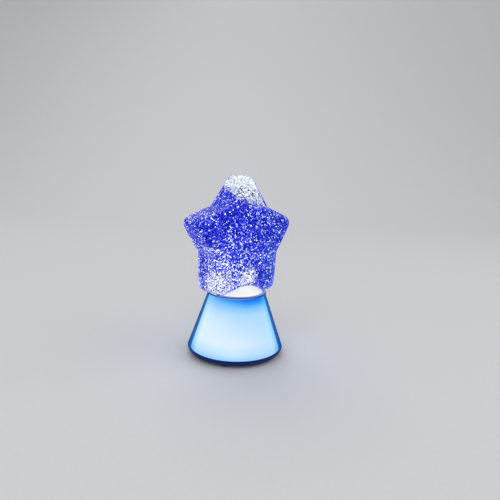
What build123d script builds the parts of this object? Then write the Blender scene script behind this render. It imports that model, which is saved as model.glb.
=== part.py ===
from build123d import *

import os
from math import cos, pi, radians, sin, sqrt

# Star-shaped glitter lamp on a conical light base, battery powered.
# Millimetres, +Z up, origin in the middle of the face it stands on, the star faces -Y.

# Fits and clearances
FIT_GAP = 0.3
SHAFT_GAP = 0.05
SEAT_GAP = 0.35
SCREW_GAP = 0.2
TOUCH_GAP = 0.05
DEEP_CUT = 40.0

# Feet
FOOT_RADIUS = 5.0
FOOT_HEIGHT = 2.0
FOOT_ROUND = 0.6
FOOT_INSET = 2.0
FOOT_ANGLE = 40.0

# Base pan
BASE_RADIUS = 50.0
PAN_HEIGHT = 6.0
PAN_FLOOR = 3.0
PAN_INSET = 5.5
PAN_ROUND = 9.0
SPIGOT_HEIGHT = 3.0
SPIGOT_WALL = 1.6

# Cone shells
CONE_HEIGHT = 58.5
CONE_TOP_RADIUS = 29.3
COVER_WALL = 2.2
LIP_REACH = 0.8
LIP_HEIGHT = 2.0
LIP_ROUND = 0.6
DIFFUSER_WALL = 1.6
PLATE_THICK = 2.0

# Screws that hold the pan to the cone
BOSS_RADIUS = 4.0
BOSS_INSET = 0.8
BOSS_HEIGHT = 14.0
PAN_SCREW_ANGLE = 58.0
SCREW_RADIUS = 1.25
SCREW_HEAD_RADIUS = 2.5
SCREW_HEAD_HEIGHT = 1.5
SCREW_LENGTH = 10.0
SCREW_TIP = 0.5
CROSS_WIDTH = 0.6
CROSS_REACH = 1.6
CROSS_DEPTH = 0.7

# Star vessel
STAR_TIP = 50.2
STAR_NOTCH_SHARE = 0.622
STAR_RISE_SHARE = 1.10
STAR_POINTS = 5
TIP_ROUND = 8.2
TOP_ROUND = 5.8
NOTCH_ROUND = 2.5
STAR_DEPTH = 43.0
STAR_DOME = 445.0
EDGE_ROUND = 6.2
EDGE_LIMIT_SHARE = 0.9
LEG_GAP = 0.5
VESSEL_WALL = 2.0
NECK_RADIUS = 15.5
NECK_WALL = 2.0
NECK_TAIL = 2.0
NUT_WALL = 2.0
NUT_HEIGHT = 6.0
NUT_SIDES = 6

# Domed seat under the star
SEAT_FLANGE = 2.5
DOME_INSET = 2.2
DOME_HEIGHT = 12.0

# Plug, seal and stirrer in the neck
PLUG_FLANGE = 2.5
PLUG_BODY = 5.5
SEAL_SECTION = 0.9
SEAL_HEIGHT = 2.7
PIN_RADIUS = 1.0
PIN_SINK = 4.0
PIN_HEAD_RADIUS = 2.0
PIN_HEAD_HEIGHT = 0.8
STIR_CLEAR = 3.0
STIR_DISC = 4.0
STIR_LIFT = 0.5
BLADE_HEIGHT = 4.5
BLADE_THICK = 1.2
BLADE_START = 3.2
BLADE_COUNT = 4
MAGNET_RADIUS = 2.6
MAGNET_HEIGHT = 2.5
MAGNET_EDGE = 1.7
LIQUID_GAP = 0.15
LIQUID_STEP = 1.2

# Glitter
FLAKE_COUNT = 170
FLAKE_RADIUS = 1.3
FLAKE_THICK = 0.16
FLAKE_MARGIN = 2.4
FLAKE_SIDES = 6
FLAKE_STEP_SHARES = (0.8191725, 0.6710436, 0.5497005)
FLAKE_TURN_SHARES = (0.6180340, 0.7548777)

# Rotor and motor
ROTOR_THICK = 4.0
ROTOR_GAP = 1.0
SHAFT_RADIUS = 1.0
MOTOR_STAND = 1.0
SHAFT_SINK = 6.0
MOTOR_DIAMETER = 12.0
MOTOR_FLAT = 10.0
MOTOR_LENGTH = 15.0
MOTOR_CAP = 2.0
BUSH_RADIUS = 2.0
BUSH_HEIGHT = 1.0
TAB_WIDTH = 1.6
TAB_THICK = 0.5
TAB_REACH = 2.6
TAB_LIFT = 0.9
CRADLE_WALL = 1.6
CRADLE_GRIP = 9.0

# Batteries, tray and contacts
CELL_DIAMETER = 10.5
CELL_LENGTH = 43.5
CELL_COUNT = 3
CELL_SPACE = 0.6
CELL_ROUND = 0.5
NUB_RADIUS = 1.9
NUB_HEIGHT = 1.0
SPRING_LENGTH = 4.6
SPRING_RADIUS = 3.2
SPRING_WIRE = 0.32
SPRING_TURNS_SHARE = 3.0
COIL_MARKS = 120
CONTACT_THICK = 0.5
CONTACT_WIDTH = 8.0
CONTACT_HEIGHT = 8.5
TAG_WIDTH = 3.0
TAG_RISE = 4.5
TRAY_WALL = 1.6
TRAY_ROOF = 1.8
CELL_LIFT = 0.5
EAR_REACH = 6.0
EAR_WIDTH = 7.0
EAR_THICK = 3.0
TRAY_SCREW_LENGTH = 4.6

# Light board
POST_RADIUS = 2.8
POST_HEIGHT = 5.0
POST_INSET = 3.4
BOARD_THICK = 1.6
BOARD_MARGIN = 2.4
BOARD_HOLE_GAP = 1.0
BOARD_SCREW_LENGTH = 5.0
LED_RADIUS = 2.5
LED_RIM = 2.9
LED_RIM_HEIGHT = 1.0
LED_STEM = 4.0
LED_CIRCLE = 17.0
LED_COUNT = 4

# Slide switch
SWITCH_LENGTH = 12.0
SWITCH_WIDTH = 6.5
SWITCH_HEIGHT = 5.5
SWITCH_EDGE = 1.0
SWITCH_EAR = 5.6
SWITCH_EAR_THICK = 1.6
SWITCH_SCREW_LENGTH = 3.6
SLIDE_TRAVEL = 4.0
KNOB_LENGTH = 3.4
KNOB_WIDTH = 2.4
KNOB_PROUD = 0.9
KNOB_RIBS = 3
RIB_RADIUS = 0.35
CARRIAGE_LENGTH = 5.0
CARRIAGE_WIDTH = 4.0
CARRIAGE_HEIGHT = 2.0
SLIDE_GAP = 0.25
PIN_PAD = 1.6
PIN_PAD_RISE = 0.6
PIN_PAD_X = 3.2

# Battery door
DOOR_CLEAR = 0.6
DOOR_GAP = 0.4
HINGE_PIN_RADIUS = 0.6
HINGE_PIN_REACH = 3.0
TONGUE_WIDTH = 12.0
TONGUE_REACH = 7.0
TONGUE_ROUND = 2.5
DOOR_SCREW_BACK = 4.2
DOOR_SCREW_LENGTH = 5.5
DOOR_SCREW_GAP = 0.5
DOOR_BOSS_RADIUS = 2.8
DOOR_BOSS_HEIGHT = 8.0
DOOR_RIB_DEPTH = 0.5
DOOR_RIB_WIDTH = 1.2
DOOR_RIB_SPACE = 4.0
DOOR_RIB_COUNT = 3

# Wires
WIRE_RADIUS = 0.6
WIRE_BEND = 1.8
TAG_WIRE_OUT = 3.6
SWITCH_WIRE_RISE = 6.0
SWITCH_WIRE_DROP = 4.0
SWITCH_WIRE_IN = 5.5
MOTOR_WIRE_OUT = 3.6


def upright(radius, height, x=0.0, y=0.0, z=0.0):
    """Cylinder standing on the height z."""
    base = (Align.CENTER, Align.CENTER, Align.MIN)
    return Pos(x, y, z) * Cylinder(radius, height, align=base)


def block(length, width, height, x=0.0, y=0.0, z=0.0):
    """Box centred on x and y, standing on the height z."""
    base = (Align.CENTER, Align.CENTER, Align.MIN)
    return Pos(x, y, z) * Box(length, width, height, align=base)


def turned(*points):
    """Solid turned about Z from a closed outline of radius and height pairs."""
    outline = Polyline(*points, close=True)
    return revolve(Plane.XZ * make_face(outline), Axis.Z)


def corners(x, y):
    """The four mirrored places of a point."""
    return [(x, y), (-x, y), (-x, -y), (x, -y)]


def wire(*points):
    """Round wire along a path with bent corners."""
    path = FilletPolyline(*points, radius=WIRE_BEND)
    profile = (path ^ 0) * Circle(WIRE_RADIUS)
    return sweep(profile, path)


def screw(length, x, y, seat, facing):
    """Cross-head screw; its head's underside is at seat and it points up (1) or down (-1)."""
    head = upright(SCREW_HEAD_RADIUS, SCREW_HEAD_HEIGHT, z=-SCREW_HEAD_HEIGHT)
    shank = upright(SCREW_RADIUS, length)
    shank = chamfer(shank.edges().sort_by(Axis.Z)[-1], SCREW_TIP)
    one = block(2 * CROSS_REACH, CROSS_WIDTH, CROSS_DEPTH, z=-SCREW_HEAD_HEIGHT)
    other = block(CROSS_WIDTH, 2 * CROSS_REACH, CROSS_DEPTH, z=-SCREW_HEAD_HEIGHT)
    body = head + shank - one - other
    if facing < 0:
        body = Rot(180, 0, 0) * body
    return Pos(x, y, seat) * body


def save(name, shape):
    """Writes one named piece."""
    export_step(Compound(children=list(shape.solids())), os.path.join("parts", name + ".step"))


os.makedirs("parts", exist_ok=True)

# Heights of the stack
pan_bottom = FOOT_HEIGHT
floor_top = pan_bottom + PAN_FLOOR
pan_top = pan_bottom + PAN_HEIGHT
cone_top = pan_top + CONE_HEIGHT
plate_top = cone_top - SEAT_FLANGE
plate_bottom = plate_top - PLATE_THICK
nut_bottom = plate_bottom - NUT_HEIGHT
neck_bottom = nut_bottom - NECK_TAIL
plug_bottom = neck_bottom - PLUG_FLANGE
plug_top = neck_bottom + PLUG_BODY
stir_bottom = plug_top + STIR_LIFT
stir_top = stir_bottom + STIR_DISC + BLADE_HEIGHT
rotor_top = plug_bottom - ROTOR_GAP
rotor_bottom = rotor_top - ROTOR_THICK
leg_drop = STAR_TIP * cos(pi / STAR_POINTS) * STAR_RISE_SHARE + TIP_ROUND
star_z = cone_top + LEG_GAP + leg_drop


def cover_radius(z):
    """Outer radius of the cone at a height."""
    rise_share = (z - pan_top) / CONE_HEIGHT
    return BASE_RADIUS + (CONE_TOP_RADIUS - BASE_RADIUS) * rise_share


def diffuser_radius(z):
    """Outer radius of the inner cone at a height."""
    return cover_radius(z) - COVER_WALL - FIT_GAP


def bore_radius(z):
    """Inner radius of the inner cone at a height."""
    return diffuser_radius(z) - DIFFUSER_WALL


# Star outline grown or shrunk by an inset, with rounded points and rounded rims
def star_solid(inset):
    points = []
    for step in range(2 * STAR_POINTS):
        reach = STAR_TIP
        if step % 2:
            reach = STAR_TIP * STAR_NOTCH_SHARE
        turn = pi / 2 + step * pi / STAR_POINTS
        points.append((reach * cos(turn), reach * sin(turn) * STAR_RISE_SHARE))
    outline = make_face(Polyline(*points, close=True))
    outline = offset(outline, TIP_ROUND - inset, kind=Kind.INTERSECTION)
    corners = sorted(outline.vertices(), key=lambda corner: corner.center().length)
    outline = fillet(corners[:STAR_POINTS], NOTCH_ROUND + inset)
    corners = sorted(outline.vertices(), key=lambda corner: corner.center().length)
    tips = ShapeList(corners[-STAR_POINTS:]).sort_by(Axis.Y)
    outline = fillet(tips[:-1], TIP_ROUND - inset)
    outline = fillet(outline.vertices().sort_by(Axis.Y)[-1], TOP_ROUND - inset)
    body = extrude(Plane.XZ * outline, STAR_DEPTH, both=True)
    dome = Sphere(STAR_DOME - inset)
    dome_shift = STAR_DOME - STAR_DEPTH / 2
    body = body & (Pos(0, dome_shift, 0) * dome) & (Pos(0, -dome_shift, 0) * dome)
    rims = body.faces().sort_by(Axis.Y)[0].edges() + body.faces().sort_by(Axis.Y)[-1].edges()
    rim_round = min(EDGE_ROUND - inset, (TOP_ROUND - inset) * EDGE_LIMIT_SHARE)
    body = fillet(rims, rim_round)
    return Pos(0, 0, star_z) * body


# Base sizes that several pieces share
pan_foot_radius = BASE_RADIUS - PAN_INSET
floor_radius = pan_foot_radius - PAN_FLOOR
door_thick = PAN_FLOOR - DOOR_CLEAR
neck_bore = NECK_RADIUS - NECK_WALL
drive_radius = neck_bore - STIR_CLEAR
magnet_circle = drive_radius - MAGNET_EDGE - MAGNET_RADIUS

# Batteries lie along X, every second one turned round
cell_step = CELL_DIAMETER + CELL_SPACE
tray_length = CELL_LENGTH + NUB_HEIGHT + SPRING_LENGTH + 2 * CONTACT_THICK + 2 * TOUCH_GAP
tray_width = CELL_COUNT * CELL_DIAMETER + (CELL_COUNT + 1) * CELL_SPACE
cell_z = floor_top + CELL_LIFT + CELL_DIAMETER / 2
tray_inner_top = cell_z + CELL_DIAMETER / 2 + CELL_SPACE
tray_top = tray_inner_top + TRAY_ROOF
end_x = tray_length / 2
cells = []
springs = []
for index in range(CELL_COUNT):
    y = (index - (CELL_COUNT - 1) / 2) * cell_step
    side = 1 - 2 * (index % 2)
    nub_x = end_x - CONTACT_THICK - TOUCH_GAP - NUB_HEIGHT
    body = Cylinder(CELL_DIAMETER / 2, CELL_LENGTH, align=(Align.CENTER, Align.CENTER, Align.MAX))
    body = fillet(body.edges().filter_by(GeomType.CIRCLE), CELL_ROUND)
    body = body + upright(NUB_RADIUS, NUB_HEIGHT)
    cells.append(Pos(side * nub_x, y, cell_z) * Rot(0, side * 90, 0) * body)
    coil_run = SPRING_LENGTH - 2 * SPRING_WIRE - 2 * TOUCH_GAP
    coil = Helix(coil_run / SPRING_TURNS_SHARE, coil_run, SPRING_RADIUS)
    strand = sweep((coil ^ 0) * Circle(SPRING_WIRE), coil, is_frenet=True)
    spring_x = end_x - CONTACT_THICK - TOUCH_GAP - SPRING_WIRE
    springs.append(Pos(-side * spring_x, y, cell_z) * Rot(0, side * 90, 0) * strand)
save("batteries", Compound(children=cells))
save("battery_springs", Compound(children=springs))
marks = [coil.position_at(index / COIL_MARKS) for index in range(COIL_MARKS + 1)]
turn_marks = int(COIL_MARKS / SPRING_TURNS_SHARE / 2)
reaches = [(a - b).length for n, a in enumerate(marks) for b in marks[n + turn_marks:]]
print("least gap between spring turns", min(reaches) - 2 * SPRING_WIRE)

# Contact plates: one at each terminal and one across each pair
terminal_y = (CELL_COUNT - 1) / 2 * cell_step
plate_x = end_x - CONTACT_THICK / 2
plate_z = cell_z - CONTACT_HEIGHT / 2
tag_height = tray_top + TAG_RISE - plate_z
pair_width = CONTACT_WIDTH + cell_step
contacts = []
for side in (1, -1):
    single = block(CONTACT_THICK, CONTACT_WIDTH, CONTACT_HEIGHT, side * plate_x, -side * terminal_y, plate_z)
    tag = block(CONTACT_THICK, TAG_WIDTH, tag_height, side * plate_x, -side * terminal_y, plate_z)
    contacts.append(single + tag)
    pair_y = side * (terminal_y - cell_step / 2)
    contacts.append(block(CONTACT_THICK, pair_width, CONTACT_HEIGHT, side * plate_x, pair_y, plate_z))
save("battery_contacts", Compound(children=contacts))

# Motor: flat-sided can, end cap with two tabs, shaft
motor_bottom = tray_top + MOTOR_STAND
motor_top = motor_bottom + MOTOR_CAP + MOTOR_LENGTH
motor_round = upright(MOTOR_DIAMETER / 2, MOTOR_LENGTH, z=motor_bottom + MOTOR_CAP)
motor_can = motor_round & block(MOTOR_DIAMETER, MOTOR_FLAT, MOTOR_LENGTH, z=motor_bottom + MOTOR_CAP)
motor_can = motor_can + upright(BUSH_RADIUS, BUSH_HEIGHT, z=motor_top)
shaft_bottom = motor_top - SHAFT_SINK
motor_can = motor_can - upright(SHAFT_RADIUS + SHAFT_GAP, DEEP_CUT, z=shaft_bottom - FIT_GAP)
save("motor_can", motor_can)

cradle_x = MOTOR_DIAMETER / 2 + SCREW_GAP + CRADLE_WALL
cradle_y = MOTOR_FLAT / 2 + SCREW_GAP + CRADLE_WALL
tab_x = cradle_x + TAB_REACH
cap_round = upright(MOTOR_DIAMETER / 2, MOTOR_CAP, z=motor_bottom)
motor_cap = cap_round & block(MOTOR_DIAMETER, MOTOR_FLAT, MOTOR_CAP, z=motor_bottom)
motor_cap = motor_cap + block(2 * tab_x, TAB_WIDTH, TAB_THICK, z=motor_bottom + TAB_LIFT)
save("motor_end_cap", motor_cap)
save("motor_shaft", upright(SHAFT_RADIUS, rotor_top - shaft_bottom, z=shaft_bottom))

# Rotor disc with two magnets facing up
rotor = upright(drive_radius, ROTOR_THICK, z=rotor_bottom)
rotor = fillet(rotor.edges().filter_by(GeomType.CIRCLE), SCREW_TIP)
rotor = rotor - upright(SHAFT_RADIUS + TOUCH_GAP, ROTOR_THICK, z=rotor_bottom)
rotor_magnets = []
for side in (1, -1):
    z = rotor_top - MAGNET_HEIGHT
    rotor = rotor - upright(MAGNET_RADIUS + TOUCH_GAP, MAGNET_HEIGHT, x=side * magnet_circle, z=z)
    rotor_magnets.append(upright(MAGNET_RADIUS, MAGNET_HEIGHT, x=side * magnet_circle, z=z))
save("rotor_disc", rotor)
save("rotor_magnets", Compound(children=rotor_magnets))

# Battery tray: open box with board posts, motor cradle, ears and the boss of the door screw
tray_outer_x = end_x + TRAY_WALL
tray_outer_y = tray_width / 2 + TRAY_WALL
tray = block(2 * tray_outer_x, 2 * tray_outer_y, tray_top - floor_top, z=floor_top)
tray = tray - block(tray_length, tray_width, tray_inner_top - floor_top, z=floor_top)
ear_x = tray_outer_x + EAR_REACH / 2
for side in (1, -1):
    tray = tray + block(EAR_REACH, EAR_WIDTH, EAR_THICK, x=side * ear_x, z=floor_top)
    tag_slot = block(CONTACT_THICK + 2 * TOUCH_GAP, TAG_WIDTH + SCREW_GAP, DEEP_CUT)
    tray = tray - Pos(side * plate_x, -side * terminal_y, cell_z) * tag_slot
tray = tray + block(2 * cradle_x, 2 * cradle_y, MOTOR_STAND + CRADLE_GRIP, z=tray_top)
pocket = upright(MOTOR_DIAMETER / 2 + SCREW_GAP, DEEP_CUT, z=motor_bottom)
pocket = pocket & block(DEEP_CUT, MOTOR_FLAT + 2 * SCREW_GAP, DEEP_CUT, z=motor_bottom)
tray = tray - pocket
tab_slot = TAB_WIDTH + 2 * SCREW_GAP
tray = tray - block(2 * tab_x, tab_slot, DEEP_CUT, z=motor_bottom + TAB_LIFT - SCREW_GAP)
post_x = tray_outer_x - POST_INSET
post_y = tray_outer_y - POST_INSET
posts = [(post_x, 0), (0, post_y), (-post_x, 0), (0, -post_y)]
board_z = tray_top + POST_HEIGHT
for x, y in posts:
    tray = tray + upright(POST_RADIUS, POST_HEIGHT, x, y, tray_top)
    hole_depth = BOARD_SCREW_LENGTH - BOARD_THICK + FIT_GAP
    tray = tray - upright(SCREW_RADIUS + TOUCH_GAP, hole_depth, x, y, board_z - hole_depth)
tongue_end = tray_width / 2 + TONGUE_REACH
door_screw_y = tongue_end - DOOR_SCREW_BACK
tray = tray + upright(DOOR_BOSS_RADIUS, DOOR_BOSS_HEIGHT, 0, door_screw_y, floor_top)
thread_room = DOOR_SCREW_LENGTH + FIT_GAP
tray = tray - upright(SCREW_RADIUS + DOOR_SCREW_GAP, thread_room, 0, door_screw_y, floor_top)
for side in (1, -1):
    tray = tray - upright(SCREW_RADIUS + SCREW_GAP, EAR_THICK, side * ear_x, 0, floor_top)
save("battery_tray", tray)
tray_screws = []
for side in (1, -1):
    tray_screws.append(screw(TRAY_SCREW_LENGTH, side * ear_x, 0, floor_top + EAR_THICK, -1))
save("tray_screws", Compound(children=tray_screws))

# Light board with four domed lamps and its screws
board_radius = post_x + POST_RADIUS + BOARD_MARGIN
board = upright(board_radius, BOARD_THICK, z=board_z)
hole_x = cradle_x + BOARD_HOLE_GAP
hole_y = cradle_y + BOARD_HOLE_GAP
board = board - block(2 * hole_x, 2 * hole_y, BOARD_THICK, z=board_z)
board_screws = []
for x, y in posts:
    board = board - upright(SCREW_RADIUS + SCREW_GAP, BOARD_THICK, x, y, board_z)
    board_screws.append(screw(BOARD_SCREW_LENGTH, x, y, board_z + BOARD_THICK, -1))
save("led_board", board)
save("board_screws", Compound(children=board_screws))
leds = []
for index in range(LED_COUNT):
    turn = radians(360 / LED_COUNT * (index + 0.5))
    x = LED_CIRCLE * cos(turn)
    y = LED_CIRCLE * sin(turn)
    rim = upright(LED_RIM, LED_RIM_HEIGHT, x, y, board_z + BOARD_THICK)
    stem = upright(LED_RADIUS, LED_RIM_HEIGHT + LED_STEM, x, y, board_z + BOARD_THICK)
    cap = Pos(x, y, board_z + BOARD_THICK + LED_RIM_HEIGHT + LED_STEM) * Sphere(LED_RADIUS)
    leds.append(rim + stem + cap)
save("leds", Compound(children=leds))

# Slide switch on the pan floor and its slider through the floor
ear_span = SWITCH_LENGTH + 2 * SWITCH_EAR
switch_corner = floor_radius - SWITCH_EDGE
switch_y = sqrt(switch_corner**2 - (ear_span / 2) ** 2) - SWITCH_WIDTH / 2
switch = block(SWITCH_LENGTH, SWITCH_WIDTH, SWITCH_HEIGHT, 0, switch_y, floor_top)
switch = switch + block(ear_span, SWITCH_WIDTH, SWITCH_EAR_THICK, 0, switch_y, floor_top)
track = CARRIAGE_LENGTH + SLIDE_TRAVEL + 2 * SLIDE_GAP
track_width = CARRIAGE_WIDTH + 2 * SLIDE_GAP
switch = switch - block(track, track_width, CARRIAGE_HEIGHT + 2 * SLIDE_GAP, 0, switch_y, floor_top)
for side in (1, -1):
    x = side * PIN_PAD_X
    switch = switch + block(PIN_PAD, PIN_PAD, PIN_PAD_RISE, x, switch_y, floor_top + SWITCH_HEIGHT)
switch_screw_x = SWITCH_LENGTH / 2 + SWITCH_EAR / 2
switch_screws = []
for side in (1, -1):
    x = side * switch_screw_x
    switch = switch - upright(SCREW_RADIUS + SCREW_GAP, SWITCH_EAR_THICK, x, switch_y, floor_top)
    switch_screws.append(screw(SWITCH_SCREW_LENGTH, x, switch_y, floor_top + SWITCH_EAR_THICK, -1))
save("switch_body", switch)
save("switch_screws", Compound(children=switch_screws))
knob_bottom = pan_bottom - KNOB_PROUD
knob_height = floor_top + SLIDE_GAP + CARRIAGE_HEIGHT / 2 - knob_bottom
rest_x = -SLIDE_TRAVEL / 2
slider = block(KNOB_LENGTH, KNOB_WIDTH, knob_height, rest_x, switch_y, knob_bottom)
carriage = block(CARRIAGE_LENGTH, CARRIAGE_WIDTH, CARRIAGE_HEIGHT, rest_x, switch_y)
slider = slider + Pos(0, 0, floor_top + SLIDE_GAP) * carriage
rib_step = KNOB_LENGTH / KNOB_RIBS
for index in range(KNOB_RIBS):
    x = rest_x + (index - (KNOB_RIBS - 1) / 2) * rib_step
    groove = Pos(x, switch_y, knob_bottom) * Rot(90, 0, 0) * Cylinder(RIB_RADIUS, KNOB_WIDTH)
    slider = slider - groove
save("switch_slider", slider)

# Battery door: rounded hinge edge at -Y, tongue with a captive screw at +Y
hinge_y = -tray_width / 2 + door_thick / 2 + DOOR_GAP
hinge_z = pan_bottom + door_thick / 2
door_length = tray_length - 2 * DOOR_GAP
door_end = tray_width / 2 - DOOR_GAP
door = block(door_length, door_end - hinge_y, door_thick, 0, (door_end + hinge_y) / 2, pan_bottom)
door = door + Pos(0, hinge_y, hinge_z) * Rot(0, 90, 0) * Cylinder(door_thick / 2, door_length)
tongue = block(TONGUE_WIDTH, tongue_end - hinge_y, door_thick, 0, (tongue_end + hinge_y) / 2, pan_bottom)
tongue = fillet(tongue.edges().filter_by(Axis.Z).group_by(Axis.Y)[-1], TONGUE_ROUND)
door = door + tongue
pin_hole = Rot(0, 90, 0) * Cylinder(HINGE_PIN_RADIUS + SHAFT_GAP, door_length)
door = door - Pos(0, hinge_y, hinge_z) * pin_hole
head_room = SCREW_HEAD_HEIGHT + TOUCH_GAP
door = door - upright(SCREW_RADIUS + SCREW_GAP, door_thick, 0, door_screw_y, pan_bottom)
door = door - upright(SCREW_HEAD_RADIUS + SCREW_GAP, head_room, 0, door_screw_y, pan_bottom)
for index in range(DOOR_RIB_COUNT):
    y = door_screw_y - DOOR_SCREW_BACK - DOOR_RIB_SPACE * (index + 1)
    rib_cut = block(TONGUE_WIDTH, DOOR_RIB_WIDTH, DOOR_RIB_DEPTH, 0, y, pan_bottom)
    door = door - rib_cut
save("battery_door", door)
pin_length = door_length + 2 * DOOR_GAP + 2 * HINGE_PIN_REACH
hinge_pin = Pos(0, hinge_y, hinge_z) * Rot(0, 90, 0) * Cylinder(HINGE_PIN_RADIUS, pin_length)
save("door_hinge_pin", hinge_pin)
door_screw = screw(DOOR_SCREW_LENGTH, 0, door_screw_y, pan_bottom + SCREW_HEAD_HEIGHT + TOUCH_GAP, 1)
save("door_screw", door_screw)

# Base pan: rounded dish with the openings of door, switch and screws
bowl = Polyline((pan_foot_radius, pan_bottom), (0, pan_bottom), (0, floor_top))
spigot_top = pan_top + SPIGOT_HEIGHT
inside = Polyline(
    (0, floor_top),
    (floor_radius, floor_top),
    (bore_radius(spigot_top) - FIT_GAP - SPIGOT_WALL, spigot_top),
    (bore_radius(spigot_top) - FIT_GAP, spigot_top),
    (bore_radius(pan_top) - FIT_GAP, pan_top),
    (BASE_RADIUS, pan_top),
)
side_arc = RadiusArc((BASE_RADIUS, pan_top), (pan_foot_radius, pan_bottom), PAN_ROUND)
pan = revolve(Plane.XZ * make_face(bowl + inside + side_arc), Axis.Z)
pan = pan - block(tray_length, tray_width, DEEP_CUT, z=floor_top - DEEP_CUT)
tongue_gap = TONGUE_WIDTH + 2 * DOOR_GAP
tongue_cut = block(tongue_gap, tongue_end + DOOR_GAP, DEEP_CUT, 0, (tongue_end + DOOR_GAP) / 2)
pan = pan - Pos(0, 0, floor_top - DEEP_CUT) * tongue_cut
pin_bore = Rot(0, 90, 0) * Cylinder(HINGE_PIN_RADIUS + TOUCH_GAP, pin_length + 2 * TOUCH_GAP)
pan = pan - Pos(0, hinge_y, hinge_z) * pin_bore
slot_length = KNOB_LENGTH + SLIDE_TRAVEL + 2 * SLIDE_GAP
pan = pan - block(slot_length, KNOB_WIDTH + 2 * SLIDE_GAP, DEEP_CUT, 0, switch_y, floor_top - DEEP_CUT)
boss_circle = bore_radius(pan_top) - BOSS_RADIUS - BOSS_INSET
screw_x = boss_circle * cos(radians(PAN_SCREW_ANGLE))
screw_y = boss_circle * sin(radians(PAN_SCREW_ANGLE))
pan_screws = []
for x, y in corners(screw_x, screw_y):
    pan = pan - upright(BOSS_RADIUS + FIT_GAP, DEEP_CUT, x, y, pan_top)
    pan = pan + upright(BOSS_RADIUS, pan_top - floor_top, x, y, floor_top)
    pan = pan - upright(SCREW_RADIUS + SCREW_GAP, DEEP_CUT, x, y, pan_bottom)
    pan = pan - upright(SCREW_HEAD_RADIUS + SCREW_GAP, head_room, x, y, pan_bottom)
    pan_screws.append(screw(SCREW_LENGTH, x, y, pan_bottom + head_room, 1))
tray_bite = TRAY_SCREW_LENGTH - EAR_THICK + FIT_GAP
switch_bite = SWITCH_SCREW_LENGTH - SWITCH_EAR_THICK + FIT_GAP
for side in (1, -1):
    pan = pan - upright(SCREW_RADIUS + TOUCH_GAP, tray_bite, side * ear_x, 0, floor_top - tray_bite)
    x = side * switch_screw_x
    pan = pan - upright(SCREW_RADIUS + TOUCH_GAP, switch_bite, x, switch_y, floor_top - switch_bite)
save("base_pan", pan)
save("pan_screws", Compound(children=pan_screws))

# Rubber feet under the pan
foot_circle = pan_foot_radius - FOOT_RADIUS - FOOT_INSET
foot_x = foot_circle * cos(radians(FOOT_ANGLE))
foot_y = foot_circle * sin(radians(FOOT_ANGLE))
feet = []
for x, y in corners(foot_x, foot_y):
    foot = upright(FOOT_RADIUS, FOOT_HEIGHT, x, y)
    feet.append(fillet(foot.edges().sort_by(Axis.Z)[0], FOOT_ROUND))
save("rubber_feet", Compound(children=feet))

# Clear outer cone with a rounded lip at its top
lip_bottom = cone_top - LIP_HEIGHT
lip_radius = cover_radius(lip_bottom) + LIP_REACH
cover = turned(
    (cover_radius(pan_top), pan_top),
    (cover_radius(lip_bottom), lip_bottom),
    (lip_radius, lip_bottom),
    (lip_radius, cone_top),
    (CONE_TOP_RADIUS - COVER_WALL, cone_top),
    (BASE_RADIUS - COVER_WALL, pan_top),
)
rings = cover.edges().filter_by(GeomType.CIRCLE)
lip_edges = [edge for edge in rings if abs(edge.radius - lip_radius) < TOUCH_GAP]
cover = fillet(lip_edges, LIP_ROUND)
save("cone_cover", cover)

# Frosted inner cone with a top plate and four screw bosses
diffuser = turned(
    (diffuser_radius(pan_top), pan_top),
    (diffuser_radius(plate_top), plate_top),
    (NECK_RADIUS + FIT_GAP, plate_top),
    (NECK_RADIUS + FIT_GAP, plate_bottom),
    (bore_radius(plate_bottom), plate_bottom),
    (bore_radius(pan_top), pan_top),
)
inner_cone = turned(
    (0, pan_top),
    (diffuser_radius(pan_top), pan_top),
    (diffuser_radius(plate_top), plate_top),
    (0, plate_top),
)
for x, y in corners(screw_x, screw_y):
    boss = upright(BOSS_RADIUS, BOSS_HEIGHT, x, y, pan_top)
    diffuser = diffuser + (boss & inner_cone)
    hole_depth = SCREW_LENGTH - pan_top + pan_bottom + head_room + FIT_GAP
    diffuser = diffuser - upright(SCREW_RADIUS + TOUCH_GAP, hole_depth, x, y, pan_top)
save("cone_diffuser", diffuser)

# Star vessel: thick clear shell with an open neck
neck_top = star_z
outer_star = star_solid(0)
inner_star = star_solid(VESSEL_WALL)
vessel = outer_star + upright(NECK_RADIUS, neck_top - neck_bottom, z=neck_bottom)
vessel = vessel - inner_star - upright(neck_bore, neck_top - neck_bottom, z=neck_bottom)
save("star_vessel", vessel)

# Liquid fills the star and the neck down to the stirrer
liquid = star_solid(VESSEL_WALL + LIQUID_GAP)
column_bottom = stir_top + LIQUID_STEP
liquid = liquid + upright(neck_bore - LIQUID_GAP, neck_top - column_bottom, z=column_bottom)
flake_zone = star_solid(VESSEL_WALL + FLAKE_MARGIN)
zone_box = flake_zone.bounding_box()
flakes = []
tries = 0
while len(flakes) < FLAKE_COUNT:
    tries += 1
    shares = [(0.5 + tries * share) % 1 for share in FLAKE_STEP_SHARES]
    turns = [360 * (tries * share % 1) for share in FLAKE_TURN_SHARES]
    x = zone_box.min.X + shares[0] * zone_box.size.X
    y = zone_box.min.Y + shares[1] * zone_box.size.Y
    z = zone_box.min.Z + shares[2] * zone_box.size.Z
    if flake_zone.solid().is_inside((x, y, z)):
        plate = extrude(RegularPolygon(FLAKE_RADIUS, FLAKE_SIDES), FLAKE_THICK)
        flakes.append(Pos(x, y, z) * Rot(turns[0], turns[1], turns[0]) * plate)
save("glitter_liquid", liquid)
save("glitter_flakes", Compound(children=flakes))

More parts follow.
